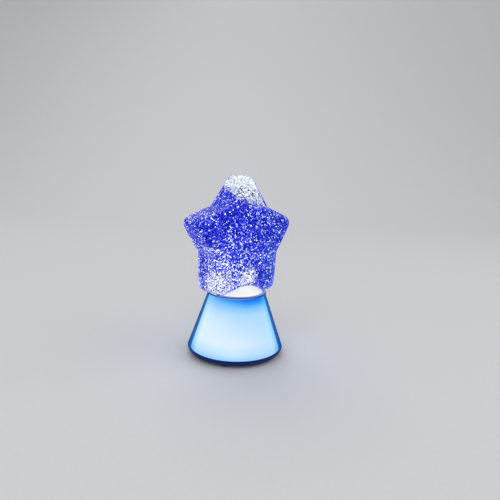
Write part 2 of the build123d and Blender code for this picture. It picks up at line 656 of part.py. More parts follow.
# White domed seat that carries the star, bored for the neck
seat = upright(cover_radius(plate_top) - COVER_WALL - FIT_GAP, SEAT_FLANGE, z=plate_top)
seat = seat & turned(
    (0, plate_top),
    (cover_radius(plate_top) - COVER_WALL - FIT_GAP, plate_top),
    (cover_radius(cone_top) - COVER_WALL - FIT_GAP, cone_top),
    (0, cone_top),
)
dome_radius = cover_radius(cone_top) - COVER_WALL - FIT_GAP - DOME_INSET
ball_radius = (dome_radius * dome_radius + DOME_HEIGHT * DOME_HEIGHT) / (2 * DOME_HEIGHT)
ball = Pos(0, 0, cone_top + DOME_HEIGHT - ball_radius) * Sphere(ball_radius)
seat = seat + (ball & upright(dome_radius, DOME_HEIGHT, z=cone_top))
seat = seat - upright(NECK_RADIUS + SEAT_GAP, DEEP_CUT, z=plate_top)
seat = seat - star_solid(-SEAT_GAP)
save("vessel_seat", seat)

# Nut that clamps the neck below the plate
nut_outline = RegularPolygon(NECK_RADIUS + NUT_WALL, NUT_SIDES, major_radius=False)
nut = extrude(Pos(0, 0, nut_bottom) * nut_outline, NUT_HEIGHT)
nut = nut - upright(NECK_RADIUS + TOUCH_GAP, NUT_HEIGHT, z=nut_bottom)
save("retaining_nut", nut)

# Plug with its seal and the pin of the stirrer
plug_radius = neck_bore - SHAFT_GAP
seal_ring = plug_radius - SEAL_SECTION
seal_z = neck_bottom + SEAL_HEIGHT
plug = upright(NECK_RADIUS, PLUG_FLANGE, z=plug_bottom)
plug = plug + upright(plug_radius, PLUG_BODY, z=neck_bottom)
groove = upright(plug_radius, 2 * SEAL_SECTION + 2 * TOUCH_GAP, z=seal_z - SEAL_SECTION - TOUCH_GAP)
groove = groove - upright(seal_ring - SEAL_SECTION - TOUCH_GAP, DEEP_CUT, z=neck_bottom)
plug = plug - groove
pin_bottom = plug_top - PIN_SINK
plug = plug - upright(PIN_RADIUS + TOUCH_GAP, PIN_SINK, z=pin_bottom)
save("vessel_plug", plug)
save("plug_seal", Pos(0, 0, seal_z) * Torus(seal_ring, SEAL_SECTION))
hub_top = stir_bottom + STIR_DISC
pin_top = hub_top + STIR_LIFT
pin = upright(PIN_RADIUS, pin_top - pin_bottom, z=pin_bottom)
pin = pin + upright(PIN_HEAD_RADIUS, PIN_HEAD_HEIGHT, z=pin_top)
save("stirrer_pin", pin)

# Bladed stirrer with two magnets facing down
stirrer = upright(drive_radius, STIR_DISC, z=stir_bottom)
stirrer = fillet(stirrer.edges().filter_by(GeomType.CIRCLE), SCREW_TIP)
blade_length = drive_radius - BLADE_START - SCREW_TIP
for index in range(BLADE_COUNT):
    blade = block(blade_length, BLADE_THICK, BLADE_HEIGHT, BLADE_START + blade_length / 2, 0, hub_top)
    stirrer = stirrer + Rot(0, 0, 360 / BLADE_COUNT * index) * blade
stirrer = stirrer - upright(PIN_RADIUS + SHAFT_GAP, STIR_DISC, z=stir_bottom)
stirrer_magnets = []
for side in (1, -1):
    x = side * magnet_circle
    stirrer = stirrer - upright(MAGNET_RADIUS + TOUCH_GAP, MAGNET_HEIGHT, x, 0, stir_bottom)
    stirrer_magnets.append(upright(MAGNET_RADIUS, MAGNET_HEIGHT, x, 0, stir_bottom))
save("stirrer", stirrer)
save("stirrer_magnets", Compound(children=stirrer_magnets))

# Wires: battery tags, switch pads and motor tabs to the light board
tag_face = end_x - CONTACT_THICK
tag_z = tray_top + TAG_RISE / 2
battery_leads = []
switch_leads = []
motor_leads = []
for side in (1, -1):
    y = -side * terminal_y
    x = side * (tag_face - TAG_WIRE_OUT)
    battery_leads.append(wire((side * tag_face, y, tag_z), (x, y, tag_z), (x, y, board_z)))
    x = side * PIN_PAD_X
    pad_top = floor_top + SWITCH_HEIGHT + PIN_PAD_RISE
    bend_y = board_radius - SWITCH_WIRE_IN
    low = (x, switch_y, pad_top + SWITCH_WIRE_RISE)
    high = (x, bend_y, board_z - SWITCH_WIRE_DROP)
    switch_leads.append(wire((x, switch_y, pad_top), low, high, (x, bend_y, board_z)))
    tab_z = motor_bottom + TAB_LIFT + TAB_THICK / 2
    x = side * (tab_x + MOTOR_WIRE_OUT)
    motor_leads.append(wire((side * tab_x, 0, tab_z), (x, 0, tab_z), (x, 0, board_z)))
save("battery_leads", Compound(children=battery_leads))
save("switch_leads", Compound(children=switch_leads))
save("motor_leads", Compound(children=motor_leads))
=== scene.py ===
import math
import random

import bpy
from mathutils import Matrix, Vector
from mathutils.bvhtree import BVHTree


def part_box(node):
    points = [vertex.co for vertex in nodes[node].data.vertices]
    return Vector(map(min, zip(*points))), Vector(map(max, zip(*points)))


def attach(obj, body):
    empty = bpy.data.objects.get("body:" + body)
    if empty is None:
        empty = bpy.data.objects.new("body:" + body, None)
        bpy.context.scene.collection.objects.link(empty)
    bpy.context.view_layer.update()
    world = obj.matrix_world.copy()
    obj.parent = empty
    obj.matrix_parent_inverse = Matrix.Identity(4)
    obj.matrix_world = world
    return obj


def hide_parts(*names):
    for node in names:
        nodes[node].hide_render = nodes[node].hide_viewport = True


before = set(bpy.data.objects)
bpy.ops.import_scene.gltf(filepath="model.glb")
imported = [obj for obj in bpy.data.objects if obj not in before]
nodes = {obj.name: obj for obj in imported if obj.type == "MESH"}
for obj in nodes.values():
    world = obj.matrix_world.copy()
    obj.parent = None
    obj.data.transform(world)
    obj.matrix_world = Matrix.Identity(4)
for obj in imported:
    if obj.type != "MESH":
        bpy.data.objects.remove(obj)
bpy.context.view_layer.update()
bpy.ops.object.select_all(action="DESELECT")

# Camera
# It stands left of the star's front, about as high as the star's top, and looks slightly down at the lamp.
# It is held a little out of level, as a hand-held camera is.
camera_distance = 0.44485
camera_height = 0.179
camera_swing = 0.637
camera_yaw = 0.02785
camera_pitch = 0.15485
camera_roll = 0.037
bpy.ops.object.camera_add()
camera = bpy.context.object
camera.data.sensor_width = 36
camera.data.lens = 31.4
stand = Vector((-math.sin(camera_swing), -math.cos(camera_swing), 0)) * camera_distance
heading = Matrix.Rotation(-camera_swing - camera_yaw, 4, "Z")
tilt = Matrix.Rotation(math.pi / 2 - camera_pitch, 4, "X")
lean = Matrix.Rotation(camera_roll, 4, "Z")
camera.matrix_world = Matrix.Translation(stand + Vector((0, 0, camera_height))) @ heading @ tilt @ lean
bpy.context.scene.camera = camera
bpy.context.scene.view_settings.view_transform = "Standard"

# Studio
# A pale paper sweep that curves up into a wall far behind the lamp, with three large soft lights.
# The paper has a faint fibre tone so that it isn't one flat colour.
paper_depth = 5.0
paper_widening = 5.0
wall_height = 3.0
fold_radius = 1.2
fold_steps = 16
far_side = 2.0
lamp_middle = Vector((0, 0, 0.09))


def connect(tree, made, **inputs):
    """Sets or links a node's inputs by name; a low line in a name stands for a space."""
    for name, value in inputs.items():
        socket = made.inputs[name.replace("_", " ")]
        if isinstance(value, bpy.types.NodeSocket):
            tree.links.new(value, socket)
        elif socket.type == "RGBA":
            socket.default_value = (*value, 1)
        else:
            socket.default_value = value
    return made


def add(tree, kind, **inputs):
    """Adds one shader node and fills its inputs."""
    return connect(tree, tree.nodes.new("ShaderNode" + kind), **inputs)


def start_material(name):
    """Makes an empty material and returns it with its node tree and its shader."""
    material = bpy.data.materials.new(name)
    material.use_nodes = True
    return material, material.node_tree, material.node_tree.nodes["Principled BSDF"]


def places_on(tree):
    """The places on a piece, in its own coordinates."""
    return add(tree, "TexCoord").outputs["Object"]


def noise(tree, place, scale, detail, **more):
    """A soft random tone from 0 to 1 over a piece."""
    return add(tree, "TexNoise", Vector=place, Scale=scale, Detail=detail, **more).outputs["Fac"]


def blend_colours(tree, share, first, second):
    """Mixes two colours by a share."""
    return add(tree, "MixRGB", Fac=share, Color1=first, Color2=second).outputs["Color"]


bpy.ops.mesh.primitive_plane_add(size=paper_depth)
sweep = bpy.context.object
sweep.name = "paper_sweep"
bpy.ops.object.mode_set(mode="EDIT")
bpy.ops.transform.resize(value=(paper_widening, 1.0, 1.0))
bpy.ops.mesh.select_mode(type="EDGE")


def pick_fold():
    """Selects the edge of the paper from which the wall rises."""
    bpy.ops.mesh.select_all(action="DESELECT")
    bpy.ops.object.mode_set(mode="OBJECT")
    for edge in sweep.data.edges:
        ends = [sweep.data.vertices[index].co for index in edge.vertices]
        edge.select = all(end.y > far_side and end.z < wall_height / 2 for end in ends)
    bpy.ops.object.mode_set(mode="EDIT")


pick_fold()
bpy.ops.mesh.extrude_region_move(TRANSFORM_OT_translate={"value": (0, 0, wall_height)})
pick_fold()
bpy.ops.mesh.bevel(offset=fold_radius, segments=fold_steps)
bpy.ops.object.mode_set(mode="OBJECT")
bpy.ops.object.shade_smooth()
sweep.data.transform(Matrix.Rotation(-camera_swing - camera_yaw, 4, "Z"))
paper, tree, shader = start_material("sweep_paper")
place = places_on(tree)
fibre = noise(tree, place, scale=220.0, detail=4.0)
paper_colour = blend_colours(tree, fibre, (0.76, 0.765, 0.78), (0.80, 0.80, 0.81))
connect(tree, shader, Base_Color=paper_colour, Roughness=0.85)
sweep.data.materials.append(paper)

world = bpy.data.worlds.new("studio_room")
world.use_nodes = True
bpy.context.scene.world = world
connect(world.node_tree, world.node_tree.nodes["Background"], Color=(0.96, 0.98, 1.0), Strength=0.45)


def soft_light(name, place, size, power):
    """Hangs a square soft light that faces the lamp's middle."""
    bpy.ops.object.light_add(type="AREA", location=place)
    light = bpy.context.object
    light.name = name
    light.data.size = size
    light.data.energy = power
    aim = lamp_middle - Vector(place)
    light.rotation_euler = aim.to_track_quat("-Z", "Y").to_euler()


soft_light("key_light", place=(-1.3, -1.2, 1.6), size=2.4, power=17)
soft_light("fill_light", place=(1.4, -1.4, 1.2), size=2.2, power=9)
soft_light("back_light", place=(0.5, 1.5, 2.2), size=1.6, power=12)


# Rubber feet
# Four soft black rubber pucks with rounded lower edges, glued under the pan.
# The rubber is matte and slightly dusty, with a fine moulded grain. The plug's seal ring is of it too.
def grain_group():
    """Shared effect: fine moulded grain as a height, and slow changes of tone over the piece."""
    group = bpy.data.node_groups.new("moulded_grain", "ShaderNodeTree")
    for name in ("Grain Scale", "Tone Scale"):
        group.interface.new_socket(name, in_out="INPUT", socket_type="NodeSocketFloat")
    for name in ("Height", "Tone"):
        group.interface.new_socket(name, in_out="OUTPUT", socket_type="NodeSocketFloat")
    values = group.nodes.new("NodeGroupInput")
    results = group.nodes.new("NodeGroupOutput")
    place = places_on(group)
    fine = noise(group, place, scale=values.outputs["Grain Scale"], detail=3.0)
    slow = noise(group, place, scale=values.outputs["Tone Scale"], detail=4.0)
    connect(group, results, Height=fine, Tone=slow)
    return group


moulded_grain = grain_group()


def between(tree, share, limits):
    """Maps a share from 0 to 1 onto a range of values."""
    low, high = limits
    return add(tree, "MapRange", Value=share, To_Min=low, To_Max=high).outputs["Result"]


def moulded(name, dark, pale, roughness, grain_scale, tone_scale, grain_depth):
    """Makes a moulded plastic or rubber from two close tones and a fine grain."""
    material, tree, shader = start_material(name)
    effect = tree.nodes.new("ShaderNodeGroup")
    effect.node_tree = moulded_grain
    connect(tree, effect, Grain_Scale=grain_scale, Tone_Scale=tone_scale)
    tone = effect.outputs["Tone"]
    bump = add(tree, "Bump", Height=effect.outputs["Height"], Strength=0.35, Distance=grain_depth)
    connect(
        tree,
        shader,
        Base_Color=blend_colours(tree, tone, dark, pale),
        Roughness=between(tree, tone, roughness),
        Normal=bump.outputs["Normal"],
    )
    return material


def dress(material, *names):
    """Gives CAD pieces their finish."""
    for name in names:
        nodes[name].material_slots[0].material = material


black_rubber = moulded(
    "black_rubber",
    dark=(0.012, 0.012, 0.013),
    pale=(0.04, 0.04, 0.042),
    roughness=(0.6, 0.9),
    grain_scale=2600,
    tone_scale=140,
    grain_depth=0.0002,
)
dress(black_rubber, "rubber_feet", "plug_seal")

# Base pan and battery door
# A shallow rounded dish moulded in dark navy plastic with a fine satin texture, and a door in its floor.
# The door turns on a steel pin at one edge and is held by one screw in its tongue.
navy_plastic = moulded(
    "navy_plastic",
    dark=(0.001, 0.018, 0.130),
    pale=(0.002, 0.028, 0.190),
    roughness=(0.38, 0.52),
    grain_scale=3200,
    tone_scale=60,
    grain_depth=0.00012,
)
navy_plastic.node_tree.nodes["Principled BSDF"].inputs["Specular IOR Level"].default_value = 0.12
dress(navy_plastic, "base_pan", "battery_door")


# Screws and pins
# Zinc plated cross-head screws and turned steel pins.
# The plating shows fine turned lines and slight spots.
def maths(tree, operation, first, second=0.0, clamp=False):
    """Adds one sum of two values, each a number or a socket."""
    made = tree.nodes.new("ShaderNodeMath")
    made.operation = operation
    made.use_clamp = clamp
    for socket, value in zip(made.inputs, (first, second)):
        if isinstance(value, bpy.types.NodeSocket):
            tree.links.new(value, socket)
        else:
            socket.default_value = value
    return made.outputs[0]


def times(tree, first, second, clamp=False):
    """Multiplies two values."""
    return maths(tree, "MULTIPLY", first, second, clamp)


def plated(name, dark, pale, roughness, stretch, line_scale):
    """Makes a drawn or plated metal with fine lines along one axis."""
    contrast = 3.0
    material, tree, shader = start_material(name)
    place = places_on(tree)
    lines = add(tree, "Mapping", Vector=place, Scale=stretch).outputs["Vector"]
    streaks = noise(tree, lines, scale=line_scale, detail=3.0)
    spots = noise(tree, place, scale=420.0, detail=2.0)
    tone = times(tree, times(tree, streaks, spots), contrast, clamp=True)
    bump = add(tree, "Bump", Height=streaks, Strength=0.2, Distance=0.00005)
    connect(
        tree,
        shader,
        Base_Color=blend_colours(tree, tone, dark, pale),
        Roughness=between(tree, streaks, roughness),
        Normal=bump.outputs["Normal"],
        Metallic=1.0,
    )
    return material


screw_steel = plated(
    "screw_steel",
    dark=(0.40, 0.40, 0.42),
    pale=(0.72, 0.72, 0.74),
    roughness=(0.22, 0.4),
    stretch=(1, 1, 8),
    line_scale=900,
)
dress(screw_steel, "door_screw", "pan_screws", "tray_screws", "switch_screws", "board_screws")
dress(screw_steel, "door_hinge_pin", "motor_shaft", "stirrer_pin")

# Slide switch and battery tray
# Small black moulded pieces: the switch case and its ribbed knob, and the tray that holds the cells.
# Both have a slightly glossier moulded finish than the pan.
black_plastic = moulded(
    "black_plastic",
    dark=(0.012, 0.012, 0.014),
    pale=(0.035, 0.035, 0.038),
    roughness=(0.3, 0.5),
    grain_scale=2400,
    tone_scale=90,
    grain_depth=0.00012,
)
dress(black_plastic, "switch_body", "switch_slider", "battery_tray")

# Cells
# Three small round cells in a plain dark shrunk sleeve with bare metal ends.
# The sleeve is glossy, with a plain blue band near both ends.
metal_start = 0.0213
band_start = 0.0150
cell_wrap, tree, shader = start_material("cell_wrap")
place = places_on(tree)
along = maths(tree, "ABSOLUTE", add(tree, "SeparateXYZ", Vector=place).outputs["X"])
ends = maths(tree, "GREATER_THAN", along, metal_start)
band = maths(tree, "GREATER_THAN", along, band_start)
sleeve_tone = noise(tree, place, scale=180.0, detail=3.0)
sleeve = blend_colours(tree, sleeve_tone, (0.014, 0.016, 0.020), (0.026, 0.028, 0.034))
sleeve = blend_colours(tree, band, sleeve, (0.10, 0.22, 0.55))
connect(
    tree,
    shader,
    Base_Color=blend_colours(tree, ends, sleeve, (0.66, 0.65, 0.63)),
    Metallic=ends,
    Roughness=between(tree, sleeve_tone, (0.22, 0.36)),
)
dress(cell_wrap, "batteries")

# Springs, contact plates and magnets
# Nickel plated spring wire and stamped plates, and nickel plated round magnets.
# Bright, with faint drawn lines.
contact_nickel = plated(
    "contact_nickel",
    dark=(0.52, 0.50, 0.46),
    pale=(0.82, 0.80, 0.76),
    roughness=(0.16, 0.34),
    stretch=(1, 6, 1),
    line_scale=700,
)
dress(contact_nickel, "battery_springs", "battery_contacts")
magnet_nickel = plated(
    "magnet_nickel",
    dark=(0.50, 0.50, 0.52),
    pale=(0.78, 0.78, 0.80),
    roughness=(0.1, 0.26),
    stretch=(1, 1, 4),
    line_scale=600,
)
dress(magnet_nickel, "rotor_magnets", "stirrer_magnets")

# Wires
# Thin stranded wires with a soft red cover, soldered to tags, pads and tabs.
# The cover is satin and slightly uneven in tone.
wire_cover = moulded(
    "wire_cover",
    dark=(0.32, 0.02, 0.018),
    pale=(0.46, 0.035, 0.03),
    roughness=(0.4, 0.6),
    grain_scale=1800,
    tone_scale=200,
    grain_depth=0.00008,
)
dress(wire_cover, "battery_leads", "switch_leads", "motor_leads")

# Light board and its lamps
# A round white board with a satin solder mask, and four clear domed lamps that shine blue-white.
# The lamps glow strongest at their domes.
board_white = moulded(
    "board_white",
    dark=(0.66, 0.69, 0.70),
    pale=(0.78, 0.80, 0.80),
    roughness=(0.35, 0.55),
    grain_scale=1500,
    tone_scale=120,
    grain_depth=0.00006,
)
dress(board_white, "led_board")


def share_of(tree, value, none, full, most=1.0):
    """A share that goes from 0 to its most between two values."""
    return add(tree, "MapRange", Value=value, From_Min=none, From_Max=full, To_Max=most).outputs["Result"]


led_lens, tree, shader = start_material("led_lens")
place = places_on(tree)
height = add(tree, "SeparateXYZ", Vector=place).outputs["Z"]
lamp_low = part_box("leds")[0].z
lamp_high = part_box("leds")[1].z
dome = share_of(tree, height, none=lamp_low, full=lamp_high)
connect(
    tree,
    shader,
    Base_Color=blend_colours(tree, dome, (0.55, 0.70, 0.95), (0.85, 0.93, 1.0)),
    Emission_Color=blend_colours(tree, dome, (0.05, 0.15, 0.6), (0.6, 0.8, 1.0)),
    Emission_Strength=2.0,
    Roughness=0.12,
)
dress(led_lens, "leds")

# Motor
# A small drawn steel can with two flats, a moulded end cap and a turned shaft.
# The can shows drawn lines along its height. The white plastic also makes the disc, nut, plug and stirrer.
motor_steel = plated(
    "motor_steel",
    dark=(0.46, 0.46, 0.47),
    pale=(0.76, 0.76, 0.77),
    roughness=(0.2, 0.38),
    stretch=(6, 6, 1),
    line_scale=500,
)
dress(motor_steel, "motor_can")
white_plastic = moulded(
    "white_plastic",
    dark=(0.70, 0.71, 0.72),
    pale=(0.80, 0.81, 0.82),
    roughness=(0.32, 0.48),
    grain_scale=2200,
    tone_scale=80,
    grain_depth=0.00008,
)
dress(white_plastic, "motor_end_cap", "rotor_disc", "retaining_nut", "vessel_plug", "stirrer")

# Inner cone
# A frosted moulded cone that spreads the lamps' light, clipped inside the clear outer cone.
# It glows almost white low down and azure just below the star's seat, with soft clouds of brightness.
# The glow isn't quite even round the cone: one side is paler, and the azure reaches lower on the other.
glow_turn = 0.637
tone_middle = 0.5
cloud_share = 0.08
lean_middle = 0.004
lean_limit = 0.009
lean_strength = 4.5
lean_power = 2.0
cone_unlit_share = 0.55


def ramp(tree, share, *steps):
    """Adds a row of colours along a share; each step is a position and a colour."""
    made = add(tree, "ValToRGB", Fac=share)
    elements = made.color_ramp.elements
    for element, (position, colour) in zip(elements, (steps[0], steps[-1])):
        element.position = position
        element.color = (*colour, 1)
    for position, colour in steps[1:-1]:
        elements.new(position).color = (*colour, 1)
    return made.outputs["Color"]


frosted_shell, tree, shader = start_material("frosted_shell")
place = places_on(tree)
height = add(tree, "SeparateXYZ", Vector=place).outputs["Z"]
cone_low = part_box("cone_diffuser")[0].z
cone_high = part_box("cone_diffuser")[1].z
rise = share_of(tree, height, none=cone_low, full=cone_high)
clouds = noise(tree, place, scale=24.0, detail=2.0)
rise = maths(tree, "ADD", rise, times(tree, maths(tree, "SUBTRACT", clouds, tone_middle), cloud_share))
across = add(tree, "Mapping", Vector=place, Rotation=(0, 0, glow_turn)).outputs["Vector"]
across = add(tree, "SeparateXYZ", Vector=across).outputs["X"]
glow_lean = maths(tree, "SUBTRACT", maths(tree, "MINIMUM", across, lean_limit), lean_middle)
glow_lean = times(tree, times(tree, glow_lean, lean_strength), maths(tree, "POWER", rise, lean_power))
rise = maths(tree, "ADD", rise, glow_lean)
glow = ramp(
    tree,
    rise,
    (0.0, (0.27, 0.52, 0.85)),
    (0.10, (0.47, 0.66, 0.80)),
    (0.25, (0.60, 0.71, 0.79)),
    (0.50, (0.48, 0.64, 0.79)),
    (0.72, (0.36, 0.57, 0.79)),
    (0.84, (0.17, 0.45, 0.79)),
    (0.93, (0.008, 0.24, 0.76)),
    (1.0, (0.001, 0.10, 0.58)),
)
above_pan = share_of(tree, rise, none=0.12, full=0.45)
paler = times(tree, share_of(tree, across, none=0.0, full=-0.040, most=0.6), above_pan)
deeper = share_of(tree, across, none=0.0, full=0.045, most=0.65)
middle_glow = blend_colours(tree, paler, glow, (0.76, 0.83, 0.80))
middle_glow = blend_colours(tree, deeper, middle_glow, (0.32, 0.54, 0.79))
below_top = share_of(tree, rise, none=0.78, full=0.60)
lit = blend_colours(tree, below_top, glow, middle_glow)
frost = noise(tree, place, scale=1900.0, detail=2.0)
bump = add(tree, "Bump", Height=frost, Strength=0.25, Distance=0.0001)
connect(
    tree,
    shader,
    Base_Color=blend_colours(tree, cone_unlit_share, lit, (0.01, 0.05, 0.12)),
    Emission_Color=lit,
    Emission_Strength=1.0,
    Roughness=between(tree, frost, (0.5, 0.65)),
    Normal=bump.outputs["Normal"],
)
dress(frosted_shell, "cone_diffuser")

# Clear outer cone
# A clear moulded cone with a rounded lip at the top, its lower edge standing on the pan.
# Edge on it shows the light that runs inside its wall, first azure, then deep blue, and darker at its foot.
# Its lip is painted dark as shade, with a painted highlight along its rounded top.
# How far down the lip's painted shade and the painted highlight on its rounded top reach.
lip_depth = 0.0016
lip_full_depth = 0.0011
bead_depth = 0.00016
bead_full_depth = 0.00002
foot_rise = 0.009
foot_full_rise = 0.004
cover_shell, tree, shader = start_material("cover_shell")
place = places_on(tree)
facing = add(tree, "LayerWeight", Blend=0.5).outputs["Facing"]
rim = share_of(tree, facing, none=0.57, full=0.64)
fringe = share_of(tree, facing, none=0.42, full=0.57, most=0.5)
outer = maths(tree, "SUBTRACT", 1.0, add(tree, "NewGeometry").outputs["Backfacing"])
edge_on = times(tree, maths(tree, "MAXIMUM", rim, fringe), outer)
height = add(tree, "SeparateXYZ", Vector=place).outputs["Z"]
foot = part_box("cone_cover")[0].z
lip_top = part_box("cone_cover")[1].z
foot_share = share_of(tree, height, none=foot + foot_rise, full=foot + foot_full_rise)
# Painted shade: the lip's band is darkened to deep blue and made nearly opaque.
shaded_lip = share_of(tree, height, none=lip_top - lip_depth, full=lip_top - lip_full_depth)
# Painted highlight: a thin lighter lavender line along the lip's rounded top.
bead_highlight = share_of(tree, height, none=lip_top - bead_depth, full=lip_top - bead_full_depth)
smear = noise(tree, place, scale=90.0, detail=3.0)
wall_colour = blend_colours(tree, smear, (0.003, 0.045, 0.18), (0.006, 0.07, 0.26))
edge_light = ramp(
    tree,
    facing,
    (0.32, (0.003, 0.03, 0.08)),
    (0.46, (0.04, 0.55, 0.95)),
    (0.56, (0.04, 0.55, 0.95)),
    (0.65, (0.008, 0.09, 0.33)),
    (0.90, (0.001, 0.025, 0.13)),
)
wall_light = blend_colours(tree, foot_share, edge_light, (0.004, 0.07, 0.28))
# The light in the wall gives way to the lip's painted shade.
wall_light = blend_colours(tree, shaded_lip, wall_light, (0.002, 0.025, 0.10))
# The lip's rounded top gets its painted highlight in both colour and glow.
connect(
    tree,
    shader,
    Base_Color=blend_colours(tree, bead_highlight, wall_colour, (0.22, 0.28, 0.62)),
    Emission_Color=blend_colours(tree, bead_highlight, wall_light, (0.10, 0.12, 0.30)),
    Emission_Strength=1.0,
    Alpha=between(tree, maths(tree, "MAXIMUM", edge_on, shaded_lip), (0.04, 0.96)),
    Roughness=between(tree, smear, (0.04, 0.12)),
    Specular_IOR_Level=0.0,
)
dress(cover_shell, "cone_cover")

# Seat
# A smooth white moulded dome on the inner cone's plate, hollowed to the star's legs and lit from below.
# It glows almost white all over, slightly warmer in soft patches.
white_seat, tree, shader = start_material("white_seat")
place = places_on(tree)
soft = noise(tree, place, scale=60.0, detail=2.0)
connect(
    tree,
    shader,
    Base_Color=blend_colours(tree, soft, (0.46, 0.46, 0.44), (0.50, 0.50, 0.46)),
    Emission_Color=blend_colours(tree, soft, (0.56, 0.58, 0.56), (0.62, 0.63, 0.57)),
    Emission_Strength=0.90,
    Roughness=between(tree, soft, (0.25, 0.4)),
)
dress(white_seat, "vessel_seat")

# Glitter liquid
# Blue-lit liquid that fills the star; only its cloudy depth is modelled, a little inside the vessel's wall.
# It is deep blue in the middle, paler low down and on one arm, and almost white in the top point, where a
# pool of light is painted.
# Two piles of glitter shine white, one at the foot of the left leg and one over the notch between the legs.
merge_distance = 0.00001
liquid_draw_in = 0.0007


def merged_copy(node, name):
    """Copies a CAD piece as a loose object, makes it the active one and merges its doubled points."""
    made = nodes[node].copy()
    made.data = nodes[node].data.copy()
    made.name = name
    made.parent = None
    for key in list(made.keys()):
        del made[key]
    made.data.materials.clear()
    bpy.context.scene.collection.objects.link(made)
    bpy.ops.object.select_all(action="DESELECT")
    bpy.context.view_layer.objects.active = made
    made.select_set(True)
    bpy.ops.object.mode_set(mode="EDIT")
    bpy.ops.mesh.select_all(action="SELECT")
    bpy.ops.mesh.remove_doubles(threshold=merge_distance)
    bpy.ops.object.mode_set(mode="OBJECT")
    return made


liquid = merged_copy("glitter_liquid", "liquid_depth")
bpy.ops.object.mode_set(mode="EDIT")
bpy.ops.mesh.select_all(action="SELECT")
bpy.ops.transform.shrink_fatten(value=-liquid_draw_in)
bpy.ops.object.mode_set(mode="OBJECT")
bpy.ops.object.shade_smooth()


def near(tree, place, spot, full, none):
    """A share that is 1 close to a spot and falls to 0 away from it."""
    gap = tree.nodes.new("ShaderNodeVectorMath")
    gap.operation = "DISTANCE"
    tree.links.new(place, gap.inputs[0])
    gap.inputs[1].default_value = spot
    return share_of(tree, gap.outputs["Value"], none=none, full=full)


pale_top = 0.128
pale_bottom = 0.080
pale_right = 0.030
pale_left = -0.022
pale_strength = 1.3
left_rim_start = -0.040
left_rim_end = -0.030
right_strength = 0.6
arm_slope = 0.48
arm_start = 0.165
arm_fade = 0.004
right_leg_strength = 1.8
speck_radius = 0.45
speck_start = 0.62
speck_contrast = 2.6
gap_chance = 0.28
gap_strength = 0.75
pile_spot = Vector((-0.033, -0.011, 0.077))
notch_spot = Vector((0.001, -0.017, 0.0835))
pile_strength = 2.3
pile_gap_chance = 0.3
white_slope = 0.28
white_turn = 0.36
white_start = 0.1648
white_steepness = 220.0
white_raggedness = 2.4
white_offset = 0.3
shade_chance = 0.60
shade_radius = 0.55
liquid_unlit_share = 0.8
blue_liquid, tree, shader = start_material("blue_liquid")
place = places_on(tree)
axes = add(tree, "SeparateXYZ", Vector=place)
x, y, z = (axes.outputs[name] for name in "XYZ")
swirl = noise(tree, place, scale=55.0, detail=4.0, Distortion=1.2)

# The blue itself, a little greener to the right and paler low on the left
low = share_of(tree, z, none=pale_top, full=pale_bottom)
left = share_of(tree, x, none=pale_right, full=pale_left)
left = times(tree, left, share_of(tree, x, none=left_rim_start, full=left_rim_end))
pale = times(tree, times(tree, low, left), times(tree, swirl, pale_strength), clamp=True)
right = share_of(tree, x, none=-0.005, full=0.040)
depth = blend_colours(tree, swirl, (0.000, 0.004, 0.29), (0.006, 0.020, 0.72))
depth = blend_colours(tree, times(tree, right, right_strength), depth, (0.001, 0.030, 0.40))
depth = blend_colours(tree, pale, depth, (0.05, 0.07, 0.44))

# The top of the left arm and the two legs
shoulder = maths(tree, "SUBTRACT", z, times(tree, x, arm_slope))
shoulder = share_of(tree, shoulder, none=arm_start, full=arm_start + arm_fade)
arm = share_of(tree, x, none=-0.016, full=-0.024)
shoulder = times(tree, shoulder, times(tree, arm, swirl))
depth = blend_colours(tree, shoulder, depth, (0.30, 0.32, 0.95))
leg_low = share_of(tree, z, none=0.120, full=0.106)
leg_front = share_of(tree, y, none=0.016, full=0.002)
left_leg = times(tree, share_of(tree, x, none=-0.022, full=-0.030), leg_low)
left_leg = times(tree, left_leg, leg_front)
depth = blend_colours(tree, times(tree, left_leg, swirl), depth, (0.06, 0.08, 0.45))
right_leg = times(tree, share_of(tree, x, none=0.017, full=0.034), leg_low)
right_leg = times(tree, right_leg, times(tree, swirl, right_leg_strength), clamp=True)
depth = blend_colours(tree, right_leg, depth, (0.05, 0.13, 0.56))

# Glitter deeper in the liquid, as pale specks and dark gaps
cells = add(tree, "TexVoronoi", Vector=place, Scale=1050.0)
chance = add(tree, "SeparateXYZ", Vector=cells.outputs["Color"]).outputs["X"]
from_middle = cells.outputs["Distance"]
speck = times(tree, maths(tree, "LESS_THAN", from_middle, speck_radius), chance)
speck = times(tree, maths(tree, "SUBTRACT", speck, speck_start), speck_contrast, clamp=True)
depth = blend_colours(tree, speck, depth, (0.24, 0.28, 0.95))
gap = times(tree, maths(tree, "LESS_THAN", chance, gap_chance), gap_strength)
depth = blend_colours(tree, gap, depth, (0.000, 0.001, 0.13))

# The two white piles
pile_glow = near(tree, place, pile_spot, full=0.009, none=0.019)
notch_glow = near(tree, place, notch_spot, full=0.004, none=0.0135)
glow = maths(tree, "MAXIMUM", pile_glow, notch_glow)
glow = times(tree, glow, times(tree, swirl, pile_strength), clamp=True)
glow = times(tree, glow, maths(tree, "GREATER_THAN", chance, pile_gap_chance))
depth = blend_colours(tree, glow, depth, (0.95, 0.96, 0.95))

